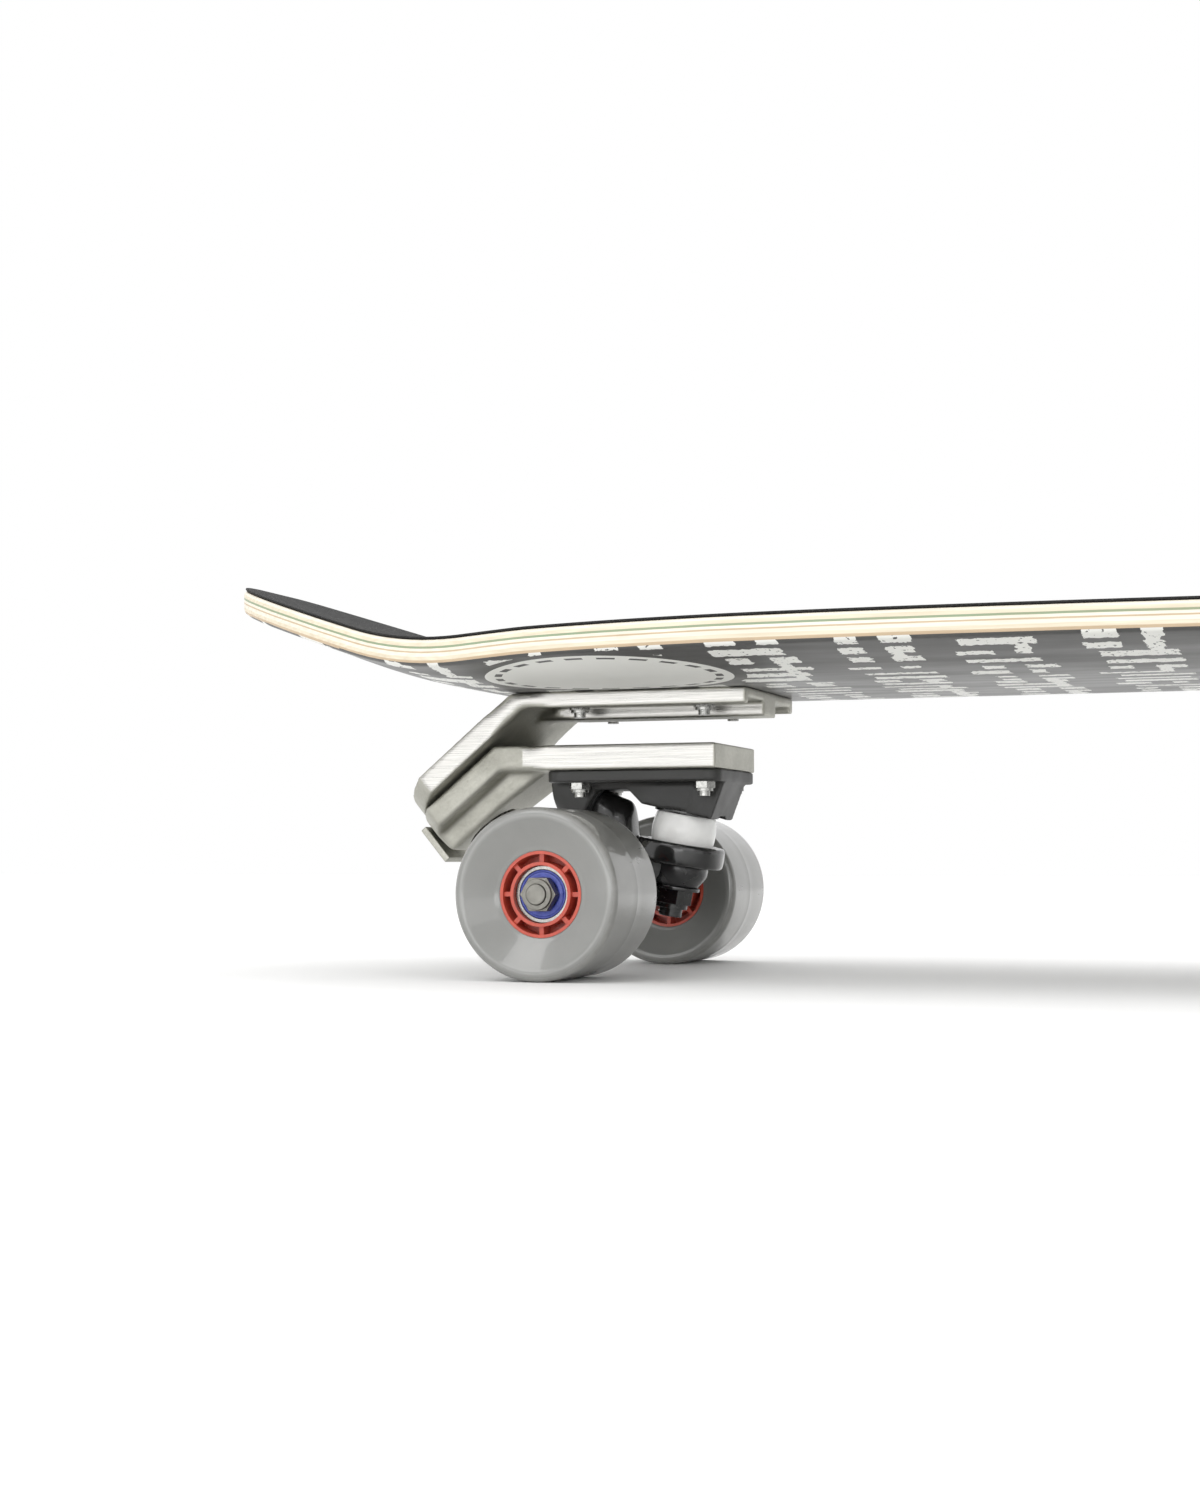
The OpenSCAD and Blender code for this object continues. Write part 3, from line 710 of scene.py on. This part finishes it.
def cut(obj, cutter):
    """Takes the cutter's shape out of the object, and removes the cutter."""
    tool = obj.modifiers.new("holes", "BOOLEAN")
    tool.operation = "DIFFERENCE"
    tool.solver = "EXACT"
    tool.object = cutter
    applied(obj)
    bpy.data.objects.remove(cutter)


def deck_piece():
    """The deck, with its plies mapped round the edge and the film on its underside."""
    obj = board_sheet("deck_veneers", DECK_BOTTOM, DECK_TOP, 0, EDGE_ROUND)
    cut(obj, bolt_cutters(DECK_TOP - 2.2 * MM, DECK_TOP + 5 * MM))
    mesh = obj.data
    mesh.materials.clear()
    mesh.materials.append(LOOKS["wood"].mat)
    mesh.materials.append(FILM.mat)
    uv = mesh.uv_layers.new(name="board_map")
    for face in mesh.polygons:
        middle = face.center
        flat_z = middle.z - float(surface_rise(middle.x, middle.y))
        under = face.normal.z < -0.6 and flat_z < DECK_BOTTOM + 0.9 * MM
        face.material_index = 1 if under else 0
        for corner in face.loop_indices:
            p = mesh.vertices[mesh.loops[corner].vertex_index].co
            if under:
                uv.data[corner].uv = (p.x, p.y)
            else:
                level = (p.z - float(surface_rise(p.x, p.y)) - DECK_BOTTOM) / DECK_THICK
                uv.data[corner].uv = (p.x + 0.4 * p.y, level)
    soften(obj, 50)
    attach(obj, "deck")
    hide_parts("deck")


def grip_piece():
    """The abrasive sheet, a little smaller than the deck."""
    low, high = DECK_TOP - 0.05 * MM, DECK_TOP + GRIP_THICK
    obj = board_sheet("grip_sheet", low, high, 0.9 * MM, 0.3 * MM)
    cut(obj, bolt_cutters(DECK_TOP - 3 * MM, DECK_TOP + 5 * MM))
    soften(obj, 50)
    dress(obj, "deck", "grip", "grip_tape")


deck_piece()
grip_piece()


# ---------------------------------------------------------------- wheels

# Millimetres, measured on the wheel
LIP = 3.0
DISH_CURVE = 1.12
DISH_STEPS = (0.04, 0.12, 0.3, 0.5, 0.7, 0.88, 0.96)
SHIELD_OUTLINE = ((9.28, -0.35), (9.28, 0.10), (9.05, 0.22), (8.75, 0.24), (8.5, 0.16), (8.3, 0.02),
                  (7.2, 0.02), (7.0, 0.12), (6.5, 0.12), (6.25, 0.0), (6.12, -0.12), (6.12, -0.35))
SHIELD_FACES = ((-15.2, -1), (-9.2, 1), (9.2, -1), (15.2, 1))
TREAD_START, TREAD_FADE = 2.2, 1.8


def tyre_profile():
    """Half of the closed outline, as (radius, offset from the wheel's middle), then mirrored."""
    core_r, core_half = CORE_R / MM, CORE_HALF / MM
    outer, half = WHEEL_R / MM, WHEEL_HALF / MM
    rim = arc(outer - LIP, half - LIP, LIP, 115, 0, 14)
    foot = (core_r + 1.3, core_half + 0.4)
    upper = [(core_r, 0), (core_r, core_half - 0.25), (core_r + 0.2, core_half),
             (core_r + 0.6, core_half + 0.22), foot]
    run, climb = rim[0][0] - foot[0], rim[0][1] - foot[1]
    upper += [(foot[0] + run * t, foot[1] + climb * t ** DISH_CURVE) for t in DISH_STEPS]
    upper += rim
    upper += [(outer, 6), (outer - 0.03, 0.4), (outer, 0.15)]
    return upper + [(r, -h) for r, h in reversed(upper[1:])]


def wheel_matrix(w):
    """The wheel's place, with +Z along its axle and away from the board."""
    return frame_to(WHEELS[w], (0, 1 if w[1] == "l" else -1, 0))


def tyre_piece(w):
    """The turned tyre, whose tread attribute says where it meets the road."""
    obj = lathe(f"tyre_{w}", tyre_profile(), wheel_matrix(w), 160)
    tread = obj.data.attributes.new("tread", "FLOAT", "POINT")
    for vertex in obj.data.vertices:
        p = vertex.co - WHEELS[w]
        inside = (WHEEL_R - math.hypot(p.x, p.z)) / MM
        tread.data[vertex.index].value = min(1, max(0, (TREAD_START - inside) / TREAD_FADE))
    dress(obj, "wheel_" + w, "wheel_urethane", f"wheel_{w}_tyre")


def shield_pieces(w):
    """Pressed bearing shields: a flat ring with a rolled outer bead and a step to the inner lip."""
    for number, (height, out) in enumerate(SHIELD_FACES, 1):
        outline = [(r, height + out * h) for r, h in SHIELD_OUTLINE]
        obj = lathe(f"shield_{w}_{number}", outline, wheel_matrix(w), 96)
        nodes = [f"wheel_{w}_shields"] if number == 1 else []
        dress(obj, "wheel_" + w, "shield_blue", *nodes)


for w in WHEELS:
    tyre_piece(w)
    eased(f"wheel_{w}_core", 0.25)
    shield_pieces(w)
    eased(f"wheel_{w}_bearings", 0.35, 3)


# ---------------------------------------------------------------- trucks

KING_LEAN = math.radians(10)
RING_BEHIND = 10 * MM
RING_BELOW = 34 * MM
KINGPIN_BORE = 4.9
KINGPIN_END = 26.2 * MM

# Rounding of each CAD node's edges in millimetres, and its steps where it isn't 2
TRUCK_EDGES = {"pivot_cup": (0.4,), "kingpin": (0.4,), "washer_top": (0.35,),
               "washer_bottom": (0.35,), "kingpin_nut": (0.45, 3), "axle": (0.5, 3),
               "axle_washers": (0.15,), "axle_nuts": (0.4, 3), "bearing_inners": (0.25,)}


def truck(end):
    """One truck's body, its ring's centre and the kingpin's upward direction."""
    ahead = 1 if end == "front" else -1
    body = BODY_OF[end + "_baseplate"]
    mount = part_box(end + "_baseplate")[1].z
    pattern = FRONT_X if end == "front" else REAR_X
    ring = Vector((pattern - ahead * RING_BEHIND, 0, mount - RING_BELOW))
    return body, ring, Vector((-ahead * math.sin(KING_LEAN), 0, math.cos(KING_LEAN)))


def reach(node, origin, direction):
    """A node's lowest and highest point along a direction from origin, in millimetres."""
    spots = [(v.co - origin).dot(direction) / MM for v in frame["nodes"][node].data.vertices]
    return min(spots), max(spots)


def bushing(end, name, slot, seat_r, belly_r, top_r):
    """A turned urethane bushing between the kingpin's washer and the hanger's seat."""
    body, ring, up = truck(end)
    low, high = reach(f"{end}_{name}", ring, up)
    outline = barrel(low, high, seat_r, belly_r, top_r)
    if name == "bushing_bottom":
        low, high = high, low
    obj = lathe(f"{end}_{name}_soft", outline, frame_to(ring, up), 96)
    obj.data.materials.append(LOOKS[slot].mat)
    bm = bmesh.new()
    bm.from_mesh(obj.data)
    bmesh.ops.subdivide_edges(bm, edges=[e for e in bm.edges if e.calc_length() > 1.6 * MM], cuts=1,
                              use_grid_fill=True)
    bm.to_mesh(obj.data)
    bm.free()
    soften(obj)
    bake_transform(obj)
    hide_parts(f"{end}_{name}")


def barrel(low, high, seat_r, belly_r, top_r):
    """Outline of a barrel bushing between two heights, in millimetres."""
    turn = 0.9
    corner = 0.3 * turn
    wall = [(seat_r + (belly_r - seat_r) * math.sin(math.pi * t) + (top_r - seat_r) * t,
             low + turn + (high - low - 2 * turn) * t) for t in np.linspace(0, 1, 13)]
    foot = [(KINGPIN_BORE, low), (seat_r - turn, low), (seat_r - corner, low + corner)]
    head = [(top_r - corner, high - corner), (top_r - turn, high), (KINGPIN_BORE, high)]
    return foot + wall + head


CAST_VOXEL = 0.7 * MM


def smoothed(obj, name, passes, group=""):
    """Adds smoothing, all over or with the weights of a vertex group."""
    smooth = obj.modifiers.new(name, "SMOOTH")
    smooth.factor = 0.6
    smooth.iterations = passes
    smooth.vertex_group = group


def cast_piece(node, passes, flow=None, flow_passes=0, milled=None):
    """A casting: the CAD shape remeshed finely and smoothed, so its joins run into fillets.

    flow gives each point a weight from 0 to 1 for wider fillets, and milled says which points
    are machined flat.
    """
    mesh = frame["nodes"][node].data.copy()
    mesh.materials.clear()
    obj = add_object(node + "_cast", mesh)
    bm = bmesh.new()
    bm.from_mesh(mesh)
    bmesh.ops.remove_doubles(bm, verts=bm.verts, dist=0.003 * MM)
    bm.to_mesh(mesh)
    bm.free()
    remesh = obj.modifiers.new("skin", "REMESH")
    remesh.mode = "VOXEL"
    remesh.voxel_size = CAST_VOXEL
    smoothed(obj, "edges", passes)
    applied(obj)
    if flow:
        group = obj.vertex_groups.new(name="flow")
        for vertex in obj.data.vertices:
            weight = flow(vertex.co)
            if weight > 0:
                group.add([vertex.index], min(1, weight), "REPLACE")
        smoothed(obj, "fillets", flow_passes, "flow")
        applied(obj)
    if milled:
        marks = obj.data.attributes.new("milled", "FLOAT", "POINT")
        for vertex in obj.data.vertices:
            marks.data[vertex.index].value = float(milled(vertex.co, vertex.normal))
    soften(obj, 60)
    return dress(obj, BODY_OF[node], SLOT_OF[node], node)


def hanger_flow(end):
    """The hanger's arms, clear of its ring, its pivot nose and its axle ends."""
    ring, up = truck(end)[1:]
    nose = Vector(JOINTS[end + "_steer"]["pos_m"])

    def flow(p):
        out = p - ring
        from_ring = (out - up * out.dot(up)).length / MM - 17.5
        from_nose = (p - nose).length / MM - 12
        from_end = 34 - abs(p.y) / MM
        return min(from_ring / 4, from_nose / 4, from_end / 6)
    return flow


for end in ("front", "rear"):
    body, ring, up = truck(end)
    cast_piece(end + "_hanger", 12, hanger_flow(end), 80)
    bushing(end, "bushing_top", "white_urethane", 12.7, 13.5, 12.5)
    bushing(end, "bushing_bottom", "black_urethane", 10.0, 11.4, 12.2)
    cast_piece(end + "_baseplate", 4)
    for part, rounding in TRUCK_EDGES.items():
        eased(f"{end}_{part}", *rounding)
    thread(end + "_kingpin_thread", frame_to(ring - up * KINGPIN_END, up), 4.76, 3.4, 1.06,
           body, "black_zinc")


# ---------------------------------------------------------------- adapter, riser and fasteners

SWING_SPOT = Vector(JOINTS["front_swing"]["pos_m"])
SWING_UP = Vector(JOINTS["front_swing"]["axis"]).normalized()
INNER_BEND = Vector((FRONT_X + 49 * MM, 0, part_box("front_baseplate")[1].z + 23 * MM))
ARM_BEND = FRONT_X + 47 * MM
BEND_REACH = 9
FLAT_SIDE = 0.97


def bend_flow(p):
    """The upper plate's inner bend, where its ribs run down into the sloping part."""
    away = math.hypot(p.x - INNER_BEND.x, p.z - INNER_BEND.z) / MM
    return 1.7 - away / BEND_REACH


def keel_flow(p):
    """The arm's underside ahead of its bend, well below the joint face."""
    below = -(p - SWING_SPOT).dot(SWING_UP) / MM
    return min((below - 8) / 4, (p.x - ARM_BEND) / MM / 8 + 1)


def plate_side(p, n):
    return abs(n.y) > FLAT_SIDE


def arm_side(p, n):
    return abs(n.y) > FLAT_SIDE and p.x < ARM_BEND + 2 * MM


cast_piece("upper_plate", 5, bend_flow, 60, plate_side)
cast_piece("swing_arm", 5, keel_flow, 45, arm_side)
eased("arm_end_plate", 0.6, 3)
eased("swing_bolt", 0.4)
eased("swing_bearing", 0.2)
eased("swing_washer", 0.25)
eased("swing_nut", 0.5, 3)
eased("rear_riser", 1.0, 3)
BOLTS = ("front_deck_bolts", "front_truck_bolts", "rear_bolts")
for node in BOLTS:
    eased(node, 0.15)
for node in ("front_deck_nuts", "front_truck_nuts", "rear_nuts"):
    eased(node, 0.3)

for node in BOLTS:
    middle = centre(node)
    end_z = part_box(node)[0].z + 0.05 * MM
    for number, (sx, sy) in enumerate(((1, 1), (1, -1), (-1, 1), (-1, -1)), 1):
        spot = Vector((middle.x + sx * BOLT_LONG / 2, middle.y + sy * BOLT_WIDE / 2, end_z))
        thread(f"{node}_thread_{number}", frame_to(spot, (0, 0, 1)), 2.4, 2.6, 0.8,
               BODY_OF[node], "zinc")


# ---------------------------------------------------------------- floor, light and camera

def floor():
    """A pale floor, wide enough to reach past the view."""
    bm = bmesh.new()
    bmesh.ops.create_grid(bm, x_segments=8, y_segments=8, size=6)
    mesh = bpy.data.meshes.new("floor")
    bm.to_mesh(mesh)
    bm.free()
    obj = add_object("floor", mesh)
    obj.data.materials.append(floor_paper().mat)


def soft_light(name, place, aim, size, power):
    """A rectangular light at place, turned to aim."""
    data = bpy.data.lights.new(name, "AREA")
    data.shape = "RECTANGLE"
    data.size, data.size_y = size
    data.energy = power
    obj = bpy.data.objects.new(name, data)
    bpy.context.scene.collection.objects.link(obj)
    away = Vector(place) - Vector(aim)
    obj.matrix_world = Matrix.Translation(place) @ away.to_track_quat("Z", "Y").to_matrix().to_4x4()


def daylight():
    """Wide, even light from above, which keeps the far floor as white as the background."""
    data = bpy.data.lights.new("daylight", "SUN")
    data.energy = 0.8
    data.angle = math.radians(80)
    obj = bpy.data.objects.new("daylight", data)
    bpy.context.scene.collection.objects.link(obj)
    obj.rotation_euler = (math.radians(12), 0, 0)


# Name, place from the front truck's bolts, size and power
SOFT_LIGHTS = (("key", (0.5, 1.3, 1.3), (1.0, 1.0), 7),
               ("fill", (-1.2, 1.6, 0.5), (1.4, 0.8), 3),
               ("low", (0.1, 1.5, 0.12), (1.6, 0.3), 3.5),
               ("back", (-0.3, -1.4, 1.2), (1.4, 0.8), 4))


def studio():
    """White surroundings and the lights."""
    world = bpy.data.worlds.new("studio")
    bpy.context.scene.world = world
    world.use_nodes = True
    background = world.node_tree.nodes["Background"]
    background.inputs["Color"].default_value = (1, 1, 1, 1)
    background.inputs["Strength"].default_value = 1.0
    daylight()
    for name, place, size, power in SOFT_LIGHTS:
        soft_light(name, Vector(place) + Vector((FRONT_X, 0, 0)), (FRONT_X, 0, 0.08), size, power)
    bpy.context.scene.view_settings.view_transform = "Standard"


CAMERA_LENS = 51.6
CAMERA_YAW = math.radians(20)
CAMERA_PITCH = math.radians(3)
CAMERA_AWAY, CAMERA_ASIDE, CAMERA_HEIGHT = 0.906, 0.010, 0.045


def camera():
    """Low on the board's left, looking across the front truck, the nose to the left of the view."""
    data = bpy.data.cameras.new("camera")
    data.sensor_width = 36
    data.lens = CAMERA_LENS
    data.clip_start = 0.01
    obj = bpy.data.objects.new("camera", data)
    bpy.context.scene.collection.objects.link(obj)
    axle = centre("front_axle")
    look = Vector((math.sin(CAMERA_YAW), -math.cos(CAMERA_YAW), 0))
    right = Vector((-math.cos(CAMERA_YAW), -math.sin(CAMERA_YAW), 0))
    forward = (look * math.cos(CAMERA_PITCH) + Vector((0, 0, math.sin(CAMERA_PITCH)))).normalized()
    top = right.cross(forward).normalized()
    spot = Vector((axle.x, axle.y, CAMERA_HEIGHT)) - look * CAMERA_AWAY - right * CAMERA_ASIDE
    turn = Matrix((right, top, -forward)).transposed().to_4x4()
    obj.matrix_world = Matrix.Translation(spot) @ turn
    bpy.context.scene.camera = obj


floor()
studio()
camera()
